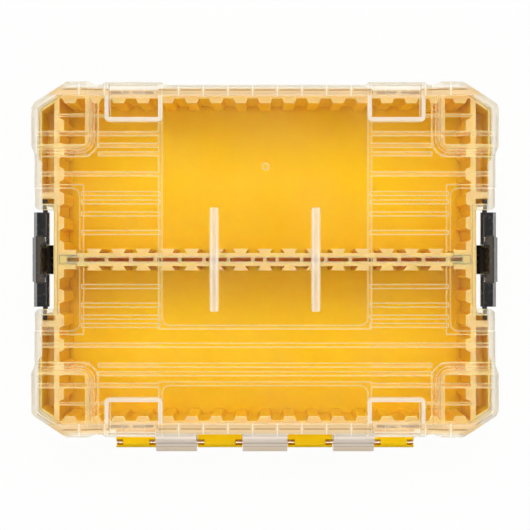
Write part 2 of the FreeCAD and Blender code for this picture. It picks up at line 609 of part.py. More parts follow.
def hollow_lid(body):
    """Inside of the lid: to below the sunk panels, then deeper beside them and under the corner blocks."""
    inside = corner(LID_INSET)
    notch_x = f"({LID_NOTCH_X} - {dim('lid_wall')})"
    cavity = four_sides(inside + [(LID_INNER_X, EAR_Y), (notch_x, EAR_Y)])
    cut(body, "lid_hollow", "XY_Plane", f"{SKIRT} - {CLEAR}", f"{PANEL_UNDER} - {SKIRT} + {CLEAR}", [cavity])
    deep = f"{LID_UNDER} - {PANEL_UNDER}"
    field_out = f"({dim('side_panel_x')} - {dim('lid_plate')})"
    end_y = f"({dim('side_panel_y')} + {dim('lid_plate')})"
    upper = [(FIELD_IN, inside[0][1]), inside[0], inside[1], (inside[1][0], end_y), (field_out, end_y)]
    cut(body, "side_fields", "XY_Plane", PANEL_UNDER, deep,
        left_and_right(upper + mirrored(upper[::-1], False, True)))
    cross = rectangle(f"-{FIELD_IN} - {CLEAR}", f"-{dim('lower_panel_y')} + {dim('lid_plate')}",
                      f"{FIELD_IN} + {CLEAR}", f"-{dim('panel_bottom_y')} - {dim('lid_plate')}")
    cut(body, "cross_field", "XY_Plane", PANEL_UNDER, deep, [cross])
    block = [(BLOCK_IN_X, BLOCK_IN_Y), (BLOCK_IN_X, inside[0][1]), inside[0], inside[1],
             (inside[1][0], BLOCK_IN_Y)]
    cut(body, "block_hollows", "XY_Plane", f"{LID_UNDER} - {BITE}", f"{BLOCK_UNDER} - {LID_UNDER} + {BITE}",
        four_copies(block))

    # along the hinge side and behind the latches the skirt stops at the tray rim
    hinge_end = corner(BASE_INSET)[0][0]
    hinge_side = rectangle(minus(hinge_end), f"-({HALF_Y} + {CLEAR})",
                           hinge_end, f"-{HALF_Y} + {LID_INSET} + {CLEAR}")
    behind_latch = rectangle(f"{notch_x} - {CLEAR}", f"-{EAR_Y} - {CLEAR}",
                             f"{BASE_NOTCH_X} + {dim('lid_gap')}", f"{EAR_Y} + {CLEAR}")
    cut(body, "rim_cuts", "XY_Plane", f"{SKIRT} - {CLEAR}", f"{SEAT} - {SKIRT} + {CLEAR}",
        [hinge_side] + left_and_right(behind_latch))


def add_stack_pockets(body):
    """Four open pockets at the long edges that take the feet of a case above."""
    inner_x = dim("stack_inner_x")
    outer_x = dim("stack_outer_x")
    wall = dim("frame_wall")
    frame = rectangle(inner_x, dim("stack_y"), outer_x, f"{HALF_Y} - {LID_INSET} + {BITE}")
    add(body, "pocket_frames", "XY_Plane", SEAT, f"{LID_UNDER} - {SEAT} + {BITE}", four_copies(frame))
    ease("Fillet", body, "frame_corners", "Radius", dim("frame_radius"),
         upright_at(all_quarters(frame[:2]), SEAT, LID_UNDER))
    pocket = rectangle(f"{inner_x} + {wall}", f"{dim('stack_y')} + {wall}",
                       f"{outer_x} - {wall}", f"{HALF_Y} - {dim('lid_wall')}")
    floor_top = f"({SEAT} + {dim('pocket_floor')})"
    cut(body, "pockets", "XY_Plane", floor_top, f"{LID_TOP} - {floor_top} + {CLEAR}", four_copies(pocket))
    half = f"{dim('pad_length')} / 2"
    pad_end = f"({HALF_Y} - {dim('lid_wall')} - {BITE})"
    pad = rectangle(f"{dim('pad_x')} - {half}", f"{pad_end} - {dim('pad_width')}",
                    f"{dim('pad_x')} + {half}", pad_end)
    add(body, "pocket_pads", "XY_Plane", f"{floor_top} - {BITE}", f"{dim('pad_height')} + {BITE}",
        four_copies(pad))


def add_lines_and_ribs(body):
    """Moulded lines on top of the lid, stiffening ribs and hold-down fins below it."""
    width = dim("line_width")
    start = f"{FIELD_IN} - {BITE}"
    side_end = f"{LID_INNER_X} + {BITE}"
    lines = []
    for number in range(1, 5):
        lines += four_copies(band(f"{dim('stack_inner_x')} + {width} / 2",
                                  f"{dim('side_panel_x')} - {width} / 2", dim(f"line_{number}_y"), width))
    add(body, "top_lines", "XY_Plane", f"{LID_TOP} - {BITE}", f"{dim('line_height')} + {BITE}", lines)

    ribs = four_copies(band(start, side_end, dim("corner_rib_y"), width))
    for y_middle, end in ((dim("side_rib_y"), side_end), (dim("field_rib_1_y"), BLOCK_X),
                          (dim("field_rib_2_y"), BLOCK_X)):
        ribs += left_and_right(band(start, end, y_middle, width))
        ribs.append(band(minus(end), end, minus(y_middle), width))
    frame_rib = (f"{TRAY_X} - {CLEAR}", dim("frame_rib_y"), dim("frame_rib_width"))
    ribs += four_copies(band(f"{dim('stack_outer_x')} - {BITE}", *frame_rib))
    drop = dim("rib_drop")
    add(body, "cross_ribs", "XY_Plane", f"{LID_UNDER} - {drop}", f"{drop} + {BITE}", ribs)
    block_ribs = four_copies(band(f"{BLOCK_IN_X} - {BITE}", side_end, dim("corner_rib_y"), width))
    block_ribs += four_copies(band(f"{BLOCK_IN_X} - {BITE}", *frame_rib))
    add(body, "block_ribs", "XY_Plane", LID_UNDER, f"{BLOCK_UNDER} - {LID_UNDER} + {BITE}", block_ribs)

    half_x = f"{dim('fin_width')} / 2"
    half_y = f"{dim('fin_length')} / 2"
    fin = rectangle(f"{dim('fin_x')} - {half_x}", minus(half_y), f"{dim('fin_x')} + {half_x}", half_y)
    add(body, "fins", "XY_Plane", f"{SEAT} + {dim('lid_gap')}", f"{PANEL_UNDER} - {SEAT}",
        left_and_right(fin))
    ease("Fillet", body, "fin_ends", "Radius", dim("fin_radius"),
         upright_at(all_quarters(fin[2:]), SEAT, PANEL_UNDER))
    add(body, "gate_mark", "XY_Plane", f"{PANEL_TOP} - {BITE}", f"{dim('line_height')} / 2 + {BITE}",
        circles=[(dim("gate_x"), dim("gate_y"), dim("gate_diameter"))])


def add_hinge_barrels(body):
    """Hinge barrels and their arms: one long bar, parted where the tray knuckles stand."""
    radius = f"({dim('barrel_diameter')} / 2)"
    length = f"2 * {BARREL_2_END}"
    add(body, "barrel_bar", "YZ_Plane", "0", length, both_ways=True,
        circles=[(HINGE_Y, HINGE_Z, dim("barrel_diameter"))])
    arm_top = f"({SEAT} + {dim('lid_rise')} / 2)"
    lid_side = f"-{HALF_Y} + {LID_INSET}"
    arm = [(f"{HINGE_Y} + {radius}", HINGE_Z), (lid_side, SEAT), (lid_side, arm_top),
           (f"{HINGE_Y} + {radius} / 2", arm_top), (f"{HINGE_Y} - {radius}", f"{HINGE_Z} + {radius}"),
           (f"{HINGE_Y} - {radius}", HINGE_Z)]
    add(body, "barrel_arms", "YZ_Plane", "0", length, [arm], both_ways=True)
    knuckle_room = rectangle(BARREL_1, f"{HINGE_Y} - {radius} - {CLEAR}", BARREL_2, minus(SIDE_Y))
    cut(body, "knuckle_room", "XY_Plane", f"{HINGE_Z} - {radius} - {CLEAR}",
        f"{arm_top} - {HINGE_Z} + {radius} + 2 * {CLEAR}", left_and_right(knuckle_room))
    cut(body, "barrel_bore", "YZ_Plane", "0", f"{length} + {CLEAR}", both_ways=True,
        circles=[(HINGE_Y, HINGE_Z, f"{dim('hinge_pin_diameter')} + 2 * {dim('pin_clearance')}")])


def build_lid():
    body = new_body("lid")
    add(body, "lid_block", "XY_Plane", SKIRT, f"{LID_TOP} - {SKIRT}", [lid_outline()])
    raise_corner_blocks(body)
    ease("Fillet", body, "ear_corners", "Radius", dim("ear_radius"),
         upright_at(all_quarters([(SIDE_X, LID_NOTCH_Y)]), SKIRT, LID_TOP))
    sink_panels(body)
    hollow_lid(body)
    add_stack_pockets(body)
    add_lines_and_ribs(body)
    for name, place in (("left_ear_bores", minus(LATCH_X)), ("right_ear_bores", LATCH_X)):
        cut(body, name, "XZ_Plane", "0", f"2 * ({EAR_Y} + {CLEAR})", both_ways=True,
            circles=[(place, LATCH_Z, f"{dim('latch_pin_diameter')} + 2 * {dim('pin_clearance')}")])
    add_hinge_barrels(body)
    return body


def build_latch(name, side):
    """Swing latch; side is -1 on the left and 1 on the right."""
    body = new_body(name)

    def section(points):
        """Points given outward and upward from the latch pin."""
        return [(f"{side} * ({LATCH_X} + ({out}))", f"{LATCH_Z} + ({up})") for out, up in points]

    reach = dim("bar_reach")
    rise = dim("bar_rise")
    radius = dim("bar_radius")
    add(body, f"{name}_bar", "XZ_Plane", "0", dim("latch_length"), both_ways=True,
        circles=[(f"{side} * {LATCH_X}", LATCH_Z, f"2 * {radius}")])
    block = section([("0", f"-{radius}"), (reach, f"-{radius}"), (reach, rise), (f"-{BITE}", rise)])
    add(body, f"{name}_block", "XZ_Plane", "0", dim("latch_length"), [block], both_ways=True)
    outer_x = side * value(f"{LATCH_X} + {reach}")
    ease("Fillet", body, f"{name}_edges", "Radius", dim("bar_round"),
         lambda edge: edge.BoundBox.XLength + edge.BoundBox.ZLength < 0.001
         and abs(edge.BoundBox.XMin - outer_x) < 0.001)

    # the middle of the bar is hollow down to the hook
    inner_face = f"({dim('grip_reach')} - {dim('grip_plate')})"
    hollow = section([(f"-{radius} - {CLEAR}", f"-{radius} - {CLEAR}"), (inner_face, f"-{radius} - {CLEAR}"),
                      (inner_face, f"{rise} + {CLEAR}"), (f"-{radius} - {CLEAR}", f"{rise} + {CLEAR}")])
    cut(body, f"{name}_hollow", "XZ_Plane", "0", dim("hook_width"), [hollow], both_ways=True)

    # finger grip: a plate with a shallow finger hollow, tapered at its lower end
    grip = dim("grip_reach")
    low = f"-{dim('grip_length')}"
    dish = f"{grip} - {dim('grip_dish')}"
    dish_low = f"{low} + {dim('dish_start')}"
    dish_high = f"{dish_low} + {dim('dish_length')}"
    plate = section([(inner_face, f"{low} + {dim('grip_tail')}"), (f"{grip} - {dim('grip_plate')} / 2", low),
                     (grip, low), (grip, f"{low} + {dim('grip_lip')}"), (dish, dish_low), (dish, dish_high),
                     (grip, f"{dish_high} + {dim('dish_ramp')}"), (grip, f"{rise} / 3"), (dish, rise),
                     (inner_face, rise)])
    add(body, f"{name}_grip", "XZ_Plane", "0", dim("grip_width"), [plate], both_ways=True)

    # hook below, tied to the grip by two cheeks, with a well between them
    drop = f"-{dim('hook_drop')}"
    tip = f"-{dim('hook_tip')}"
    nose = f"{tip} + {dim('hook_nose')}"
    well_floor = f"{drop} - {dim('hook_step')}"
    well_side = f"{nose} + {BITE}"
    back = f"{inner_face} + {BITE}"
    under = f"{well_floor} - {dim('hook_thickness')}"
    hook = section([(back, under), (nose, under), (tip, f"{drop} - {dim('hook_thickness')}"), (tip, drop),
                    (nose, drop), (well_side, well_floor), (back, well_floor)])
    add(body, f"{name}_hook", "XZ_Plane", "0", dim("hook_width"), [hook], both_ways=True)
    cheek = section([(back, f"{well_floor} - {BITE}"), (well_side, f"{well_floor} - {BITE}"),
                     ("0", f"-2 * {radius}"), ("0", "0"), (back, "0")])
    add(body, f"{name}_cheeks", "XZ_Plane", "0", dim("hook_width"), [cheek], both_ways=True)
    well = section([(well_side, well_floor), (inner_face, well_floor),
                    (inner_face, f"{rise} + {CLEAR}"), (well_side, f"{rise} + {CLEAR}")])
    cut(body, f"{name}_well", "XZ_Plane", "0", f"{dim('hook_width')} - 2 * {dim('hook_cheek')}", [well],
        both_ways=True)

    # slits beside the hollow, and the bore for the stub pins
    slit_y = f"({dim('grip_width')} / 2)"
    slit_half = f"{dim('slit_width')} / 2"
    slit = rectangle(f"{side} * ({LATCH_X} - {slit_half})", f"{slit_y} - {dim('slit_length')}",
                     f"{side} * ({LATCH_X} + {slit_half})", slit_y)
    cut(body, f"{name}_slits", "XY_Plane", f"{LATCH_Z} - {radius} - {CLEAR}", f"2 * {radius} + 2 * {CLEAR}",
        front_and_back(slit))
    bore = f"{dim('latch_pin_diameter')} + 2 * {dim('pin_clearance')}"
    cut(body, f"{name}_bore", "XZ_Plane", "0", f"{dim('latch_length')} + {CLEAR}", both_ways=True,
        circles=[(f"{side} * {LATCH_X}", LATCH_Z, bore)])
    return body


def build_rod(name, diameter, length, turn, place):
    """Plain round rod from a starting point."""
    rod = doc.addObject("Part::Cylinder", name)
    rod.Label = name
    rod.setExpression("Radius", f"{diameter} / 2")
    rod.setExpression("Height", length)
    rod.Placement = FreeCAD.Placement(FreeCAD.Vector(0, 0, 0), turn)
    for axis, text in zip("xyz", place):
        rod.setExpression(f"Placement.Base.{axis}", text)
    return rod


def build_hinge_pin():
    along_x = FreeCAD.Rotation(FreeCAD.Vector(0, 1, 0), 90)
    return build_rod("hinge_pin", dim("hinge_pin_diameter"), f"2 * {KNUCKLE_2_END}", along_x,
                     (minus(KNUCKLE_2_END), f"{HINGE_Y} + {CENTRE_SHIFT}", HINGE_Z))


def build_latch_pins(name, side):
    """Two stub pins, one at each end of a latch, as one group."""
    along_y = FreeCAD.Rotation(FreeCAD.Vector(1, 0, 0), -90)
    inner_end = f"({dim('latch_length')} / 2 - {dim('latch_pin_grip')})"
    outer_end = f"({EAR_Y} + {dim('latch_pin_tail')})"
    length = f"{outer_end} - {inner_end}"
    pins = []
    for end, start in (("front", inner_end), ("back", minus(outer_end))):
        pins.append(build_rod(f"{name}_{end}", dim("latch_pin_diameter"), length, along_y,
                              (f"{side} * {LATCH_X}", f"{start} + {CENTRE_SHIFT}", LATCH_Z)))
    group = doc.addObject("Part::Compound", name)
    group.Label = name
    group.Links = pins
    return group


def write_nodes(nodes):
    doc.recompute()
    broken = [item.Label for item in doc.Objects if "Invalid" in item.State or "Error" in item.State]
    if broken:
        raise RuntimeError(f"not built: {broken}")
    os.makedirs("parts", exist_ok=True)
    for node in nodes:
        if node.Shape.isNull() or not node.Shape.isValid():
            raise RuntimeError(f"bad shape: {node.Label}")
        node.Shape.exportStep(f"parts/{node.Label}.step")


write_nodes([
    build_tray(),
    build_divider(),
    build_hinge_pin(),
    build_lid(),
    build_latch("left_latch", -1),
    build_latch_pins("left_latch_pins", -1),
    build_latch("right_latch", 1),
    build_latch_pins("right_latch_pins", 1),
])
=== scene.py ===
"""Looks of the bit case, seen from straight above.

A clear lid lies over a yellow tray with a divider. Black latches hang on the short sides, and the
pins are steel.
"""
import math
from collections import namedtuple

import bmesh
import bpy
from mathutils import Matrix, Vector


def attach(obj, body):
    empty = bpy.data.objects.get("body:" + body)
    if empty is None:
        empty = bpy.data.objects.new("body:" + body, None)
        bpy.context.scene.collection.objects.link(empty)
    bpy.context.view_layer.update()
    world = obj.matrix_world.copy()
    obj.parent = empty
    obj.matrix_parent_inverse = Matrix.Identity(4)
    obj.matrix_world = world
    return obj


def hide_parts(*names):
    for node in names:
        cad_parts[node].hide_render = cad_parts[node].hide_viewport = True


# Lengths are in millimetres. X and Y count from the middle of the tray, and most places hold for all
# four quarters of the case. Z counts from the table.
MM = 0.001
CASE_MIDDLE_Y = 4.9
RIM_HEIGHT = 47.0
FROM_MIDDLE = -1.0  # low end of a range that starts at a middle line

# Tray and divider
WELL_X = (119.2, 126.9)
WELL_Y = (40.0, 86.0)
WELL_FLOOR = 26.0
SLOT_X = (FROM_MIDDLE, 114.0)
SLOT_Y = (FROM_MIDDLE, 2.3)
END_SLOT_X = (106.3, 113.4)
END_SLOT_WIDTH = 2.2
END_SLOT_DEPTH = 4.0
HINGE_LINE = (-101.0, -100.6)  # the walls end and the hinge starts here

# Latches
GRIP_X = (126.4, 130.4)
GRIP_HALF_LENGTH = 13.2
GRIP_OUTER_X = 130.5
LATCH_OUTER_X = 129.8

# Rim of the lid
HALF_LENGTH = 132.0
HALF_DEPTH = 100.5
CORNER_CUT = (19.8, 13.0)
BUMPER_START = (54.0, 58.0)
BUMPER_STEP = 1.8  # the sides lie this much further in between the corner bumpers
HINGE_HALF_Y = (-60.0, -50.0)
HINGE_STEP = 1.8  # the hinge side lies this much further out
RIM_EDGE = (3.0, 4.2)

# Long walls seen through the lid, painted on the lid: a cream band of painted light with ticks, and thin
# dashes of painted shade for the cells
LONG_WALL_Y = 92.8
LONG_WALL_WIDTH = 4.3
CELL_PITCH = 14.0
CELL_LINE_Y = 96.2
CELL_REACH = (112.0, 116.0)

# Marks on the lid
POCKET_X = (58.4, 90.9)
POCKET_Y = 78.5
POCKET_WALL = (2.0, 2.3)
POCKET_RADIUS = 2.6
PAD_X = (69.0, 82.0)
PAD_Y = (95.2, 98.8)
FIN_X = (26.8, 31.0)
FIN_Y = (FROM_MIDDLE, 29.4)
GATE_Y = 53.0
GATE_RADIUS = 1.7
# Bands of painted light over the steps and ribs
STEP_BANDS = [((58.0, 60.6), (-39.6, 79.0)), ((FROM_MIDDLE, 60.6), (-39.6, -37.2)),
              ((58.0, 60.6), (-99.0, -69.3)), ((FROM_MIDDLE, 60.6), (-71.7, -69.3))]
RIB_BANDS = [((60.0, 131.0), (47.5, 49.7)), ((60.0, 94.6), (58.9, 61.1)),
             ((60.0, 94.6), (63.7, 65.9)), ((60.0, 131.0), (70.3, 72.5))]
BLOCK_CORNER = (103.8, 67.6)
# Painted highlight lines round the corner blocks
BLOCK_LINES = [(3.2, 0.5), (4.8, 0.4), (6.6, 0.25), (9.2, 0.5)]  # distance and white share
EAR_X = (116.0, 131.0)
EAR_Y = (27.5, 41.5)
EAR_WINDOW_X = (118.6, 127.2)
EAR_WINDOW_Y = (31.2, 35.0)
BARREL_START = 100.0
BARREL_WIDTH = 10.0
# Painted reflection streaks on the hinge barrels
BARREL_STREAKS = [(0.0, 0.9), (0.08, 1.0), (0.2, 0.97), (0.27, 0.72), (0.33, 0.97), (0.44, 0.94),
                  (0.5, 0.46), (0.55, 0.88), (0.61, 1.0), (0.66, 0.98), (0.71, 0.66), (0.77, 0.95),
                  (1.0, 0.9)]  # share of the width and tone

# How much white the clear plastic carries at each mark: painted light where edges, walls, fins and ribs
# catch and pipe the light and where the tray shows through, painted reflections on the hinge barrels; the
# haze and the grained pads are the plastic's own
EDGE_WHITE = 0.75
RIM_WHITE = 0.45
FRAME_WHITE = 0.5
WALL_WHITE = 0.5
TICK_WHITE = 0.65
BARREL_WHITE = 0.72
GATE_WHITE = 0.4
EAR_WHITE = 0.08
RIB_WHITE = 0.06
STEP_WHITE = 0.02
HAZE_WHITE = (0.004, 0.014)
PAD_WHITE = (0.18, 0.36)
FIN_WHITE = (0.34, 0.52)
FIN_GROOVE = -0.12

YELLOW = (0.885, 0.55, 0.003)
DEEP_YELLOW = (0.86, 0.52, 0.002)
# Painted light: the paler wells, brighter slots, lighter knuckles, cream rim faces and edge cream below
WELL_GLOW_YELLOW = (1.0, 0.68, 0.2)
SLOT_GLOW_ORANGE = (1.0, 0.56, 0.18)
LIT_KNUCKLE_YELLOW = (1.0, 0.57, 0.001)
LIT_TOP_CREAM = (0.71, 0.57, 0.33)
EDGE_HIGHLIGHT_CREAM = (0.93, 0.76, 0.44)
BLACK = (0.021, 0.02, 0.02)
DEEP_BLACK = (0.015, 0.014, 0.014)
# Painted reflection on the grip, and painted highlight with worn plastic on the outer edge
GRIP_REFLECTION_BROWN = (0.085, 0.07, 0.055)
EDGE_HIGHLIGHT_AND_WEAR_GREY = (0.34, 0.34, 0.33)
# Tints of the painted light on the lid: the warm one for yellow light from the tray, cream for the wall
# tops seen through, brown for painted shade of the cells
COLD_WHITE = (0.98, 0.95, 0.87)
WARM_WHITE = (1.0, 0.84, 0.42)
WALL_LIGHT_CREAM = (1.0, 0.81, 0.51)
CELL_SHADE_BROWN = (0.42, 0.26, 0.12)
LID_GLOSS = (0.25, 0.25, 0.25, 1)
LIGHT_THROUGH_LID = (0.82, 0.82, 0.82, 1)
# Warm tint of the steel: painted reflection of the yellow tray.
PIN_STEEL = ((0.8, 0.62, 0.5), (0.66, 0.5, 0.4))
# Darker copy of the steel for the latch pins: painted shade.
SHADED_STEEL = ((0.06, 0.05, 0.045), (0.035, 0.03, 0.028))

# Places of the lamps in metres, and their watts
LAMP_AIM = (0, 0, 0.03)
LAMP_SIZE = 0.7
LAMPS = [("left_lamp", (-0.85, 0.1, 1.2), 4.4), ("right_lamp", (0.85, 0.1, 1.2), 4.4),
         ("far_lamp", (0, 0.8, 1.2), 8.9), ("near_lamp", (0, -0.8, 1.2), 6.2)]
SURROUND_OVERHEAD = 0.25
SURROUND_SIDES = 0.8

Spot = namedtuple("Spot", "x_side y_side x y z")

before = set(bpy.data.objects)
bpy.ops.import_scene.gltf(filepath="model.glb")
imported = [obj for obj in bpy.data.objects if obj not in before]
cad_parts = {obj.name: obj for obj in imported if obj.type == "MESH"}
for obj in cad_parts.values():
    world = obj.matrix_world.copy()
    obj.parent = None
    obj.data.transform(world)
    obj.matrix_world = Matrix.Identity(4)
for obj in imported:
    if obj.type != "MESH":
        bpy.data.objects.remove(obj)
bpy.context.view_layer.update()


def empty_tree(material):
    material.use_nodes = True
    tree = material.node_tree
    tree.nodes.clear()
    return tree


def new_node(tree, kind, **sockets):
    """Shader node with its unlinked sockets set by name (spaces written as _)."""
    node = tree.nodes.new(kind)
    for name, setting in sockets.items():
        node.inputs[name.replace("_", " ")].default_value = setting
    return node


def feed(tree, node, **sources):
    """Links sources to the node's sockets by name (spaces written as _)."""
    for name, source in sources.items():
        tree.links.new(source, node.inputs[name.replace("_", " ")])


def mixed(tree, share, first, second):
    """Shader that goes from first to second."""
    node = tree.nodes.new("ShaderNodeMixShader")
    tree.links.new(share, node.inputs["Fac"])
    tree.links.new(first, node.inputs[1])
    tree.links.new(second, node.inputs[2])
    return node.outputs["Shader"]


def surface(tree, shader):
    feed(tree, tree.nodes.new("ShaderNodeOutputMaterial"), Surface=shader)


def calculate(tree, operation, *terms):
    """Math node over numbers and sockets; more than two terms are taken in turn."""
    result = terms[0]
    for term in terms[1:] or (0.0,):
        node = tree.nodes.new("ShaderNodeMath")
        node.operation = operation
        for socket, part in zip(node.inputs, (result, term)):
            if isinstance(part, (int, float)):
                socket.default_value = part
            else:
                tree.links.new(part, socket)
        result = node.outputs["Value"]
    return result


def total(tree, *terms):
    return calculate(tree, "ADD", *terms)


def minus(tree, *terms):
    return calculate(tree, "SUBTRACT", *terms)


def product(tree, *terms):
    return calculate(tree, "MULTIPLY", *terms)


def largest(tree, *terms):
    return calculate(tree, "MAXIMUM", *terms)


def smallest(tree, *terms):
    return calculate(tree, "MINIMUM", *terms)


def absolute(tree, term):
    return calculate(tree, "ABSOLUTE", term)


def distance(tree, place, middle):
    return absolute(tree, minus(tree, place, middle))


def radius_of(tree, first, second):
    """Length of a vector with these two parts."""
    squares = [calculate(tree, "POWER", part, 2.0) for part in (first, second)]
    return calculate(tree, "SQRT", total(tree, *squares))


def ramp(tree, source, start, end, low, high):
    """Smooth change from low to high while the source goes from start to end."""
    node = new_node(tree, "ShaderNodeMapRange", From_Min=start, From_Max=end, To_Min=low, To_Max=high)
    node.interpolation_type = "SMOOTHSTEP"
    feed(tree, node, Value=source)
    return node.outputs["Result"]


def object_coordinates(tree):
    return tree.nodes.new("ShaderNodeTexCoord").outputs["Object"]


def noise(tree, scale, detail, roughness=0.5):
    """Grain that is fixed to the piece; scale in cycles per metre."""
    node = new_node(tree, "ShaderNodeTexNoise", Scale=scale, Detail=detail, Roughness=roughness)
    feed(tree, node, Vector=object_coordinates(tree))
    return node.outputs["Fac"]


def spread(tree, source, low, high):
    """Grain value stretched between two numbers."""
    node = new_node(tree, "ShaderNodeMapRange", From_Min=0.3, From_Max=0.7, To_Min=low, To_Max=high)
    feed(tree, node, Value=source)
    return node.outputs["Result"]


def rounded_normal(tree, radius):
    """Normal of a surface whose edges are rounded by a radius in metres."""
    node = new_node(tree, "ShaderNodeBevel", Radius=radius)
    node.samples = 6
    return node.outputs["Normal"]


def plain_normal(tree):
    return tree.nodes.new("ShaderNodeNewGeometry").outputs["Normal"]


def bump(tree, source, height, strength, normal=None):
    """Surface relief of a height in metres."""
    node = new_node(tree, "ShaderNodeBump", Strength=strength, Distance=height)
    feed(tree, node, Height=source)
    if normal is not None:
        feed(tree, node, Normal=normal)
    return node.outputs["Normal"]


def colour_between(tree, share, first, second):
    """Colour that goes from first to second; either may be a socket."""
    node = tree.nodes.new("ShaderNodeMix")
    node.data_type = "RGBA"
    feed(tree, node, Factor=share)
    for socket, colour in ((node.inputs[6], first), (node.inputs[7], second)):
        if isinstance(colour, tuple):
            socket.default_value = (*colour, 1)
        else:
            tree.links.new(colour, socket)
    return node.outputs[2]


def spot_in_mm(tree):
    """Where a point lies: X and Y from the middle of the tray, with and without sign, and Z."""
    split = tree.nodes.new("ShaderNodeSeparateXYZ")
    feed(tree, split, Vector=object_coordinates(tree))
    x_side, y_whole, z = (product(tree, split.outputs[axis], 1 / MM) for axis in "XYZ")
    y_side = minus(tree, y_whole, CASE_MIDDLE_Y)
    return Spot(x_side, y_side, absolute(tree, x_side), absolute(tree, y_side), z)


def inside(tree, x, y, x_range, y_range, soft):
    """1 inside a rectangle and 0 outside it, with a soft edge."""
    depths = [minus(tree, x, x_range[0]), minus(tree, x_range[1], x),
              minus(tree, y, y_range[0]), minus(tree, y_range[1], y)]
    return ramp(tree, smallest(tree, *depths), -soft, soft, 0, 1)


def edge_share(tree, radius, gain):
    """How near a point lies to a moulded edge: 1 on the edge, 0 beyond the radius."""
    dot = tree.nodes.new("ShaderNodeVectorMath")
    dot.operation = "DOT_PRODUCT"
    tree.links.new(rounded_normal(tree, radius), dot.inputs[0])
    tree.links.new(plain_normal(tree), dot.inputs[1])
    turn = minus(tree, 1.0, absolute(tree, dot.outputs["Value"]))
    lean = calculate(tree, "SQRT", largest(tree, turn, 0.0))
    return smallest(tree, product(tree, lean, gain), 1.0)


def tray_plastic():
    """Yellow moulded plastic with painted light: wells and slots painted paler as if lit through thin
    walls, with more subsurface glow in the slots, lit knuckles and cream rim faces painted on, and
    painted highlights on the rim edges.
    """
    material = bpy.data.materials.new("tray_plastic")
    tree = empty_tree(material)
    shader = new_node(tree, "ShaderNodeBsdfPrincipled", IOR=1.5, Specular_IOR_Level=0.1,
                      Subsurface_Radius=(1.0, 0.6, 0.05))
    spot = spot_in_mm(tree)
    # Painted light: the wells are painted paler and the slots brighter, as if light came through their
    # thin walls.
    well = product(tree, inside(tree, spot.x, spot.y, WELL_X, WELL_Y, 0.3),
                   ramp(tree, spot.z, WELL_FLOOR, WELL_FLOOR + 0.5, 0, 0.9))
    slot = inside(tree, spot.x, spot.y, SLOT_X, SLOT_Y, 0.2)
    # Painted light: the knuckles outside the lid are painted lighter, as lit.
    knuckle = ramp(tree, spot.y_side, *HINGE_LINE, 1, 0)
    # Painted light: the rim faces are painted lit cream, mottled by a grain.
    top_grain = spread(tree, noise(tree, scale=1100, detail=4, roughness=0.75), 0.5, 1.1)
    lit_top = product(tree, ramp(tree, spot.z, RIM_HEIGHT - 0.6, RIM_HEIGHT - 0.2, 0, 0.9), top_grain)
    # Painted highlight on the edges near the rim.
    outline = product(tree, edge_share(tree, 0.5 * MM, 2.0),
                      ramp(tree, spot.z, RIM_HEIGHT - 1.0, RIM_HEIGHT - 0.5, 0, 0.8))
    drift = spread(tree, noise(tree, scale=22, detail=3), 0, 1)
    colour = colour_between(tree, drift, YELLOW, DEEP_YELLOW)
    layers = [(well, WELL_GLOW_YELLOW), (slot, SLOT_GLOW_ORANGE), (knuckle, LIT_KNUCKLE_YELLOW),
              (lit_top, LIT_TOP_CREAM), (outline, EDGE_HIGHLIGHT_CREAM)]
    for share, paint in layers:
        colour = colour_between(tree, share, colour, paint)
    grain = noise(tree, scale=2600, detail=3)
    feed(tree, shader, Base_Color=colour,
         Subsurface_Scale=ramp(tree, slot, 0, 1, 4 * MM, 24 * MM),
         Subsurface_Weight=ramp(tree, slot, 0, 1, 0.7, 1),
         Roughness=spread(tree, noise(tree, scale=90, detail=4), 0.34, 0.46),
         Normal=bump(tree, grain, 0.02 * MM, 0.35, rounded_normal(tree, 0.35 * MM)))
    surface(tree, shader.outputs["BSDF"])
    return material


def latch_plastic():
    """Black moulded plastic with a fine texture, a painted brown reflection on the grip, and a pale outer
    edge that is painted highlight and worn plastic.
    """
    material = bpy.data.materials.new("latch_plastic")
    tree = empty_tree(material)
    shader = new_node(tree, "ShaderNodeBsdfPrincipled", IOR=1.5, Specular_IOR_Level=0.5)
    spot = spot_in_mm(tree)
    # Painted reflection: the grip is painted browner.
    grip = inside(tree, spot.x, spot.y, GRIP_X, (FROM_MIDDLE, GRIP_HALF_LENGTH), 1.2)
    facing = tree.nodes.new("ShaderNodeSeparateXYZ")
    feed(tree, facing, Vector=plain_normal(tree))
    # Painted highlight and worn plastic on the upper outer edge.
    edge_x = ramp(tree, spot.y, GRIP_HALF_LENGTH, GRIP_HALF_LENGTH + 0.4, GRIP_OUTER_X, LATCH_OUTER_X)
    outer_edge_highlight_and_wear = product(tree, ramp(tree, minus(tree, spot.x, edge_x), 0, 0.4, 0, 0.8),
                         ramp(tree, facing.outputs["Z"], 0.3, 0.7, 0, 1))
    drift = spread(tree, noise(tree, scale=60, detail=3), 0, 1)
    tone = colour_between(tree, drift, BLACK, DEEP_BLACK)
    tone = colour_between(tree, grip, tone, GRIP_REFLECTION_BROWN)
    tone = colour_between(tree, outer_edge_highlight_and_wear, tone, EDGE_HIGHLIGHT_AND_WEAR_GREY)
    grain = noise(tree, scale=3400, detail=3)
    feed(tree, shader, Base_Color=tone,
         Roughness=spread(tree, noise(tree, scale=300, detail=4), 0.2, 0.3),
         Normal=bump(tree, grain, 0.03 * MM, 0.4, rounded_normal(tree, 0.5 * MM)))
    surface(tree, shader.outputs["BSDF"])
    return material


def past_corner(tree, past_x, past_y):
    """Distance from a corner for a point past it; what lies before it counts as 0."""
    return radius_of(tree, largest(tree, past_x, 0.0), largest(tree, past_y, 0.0))


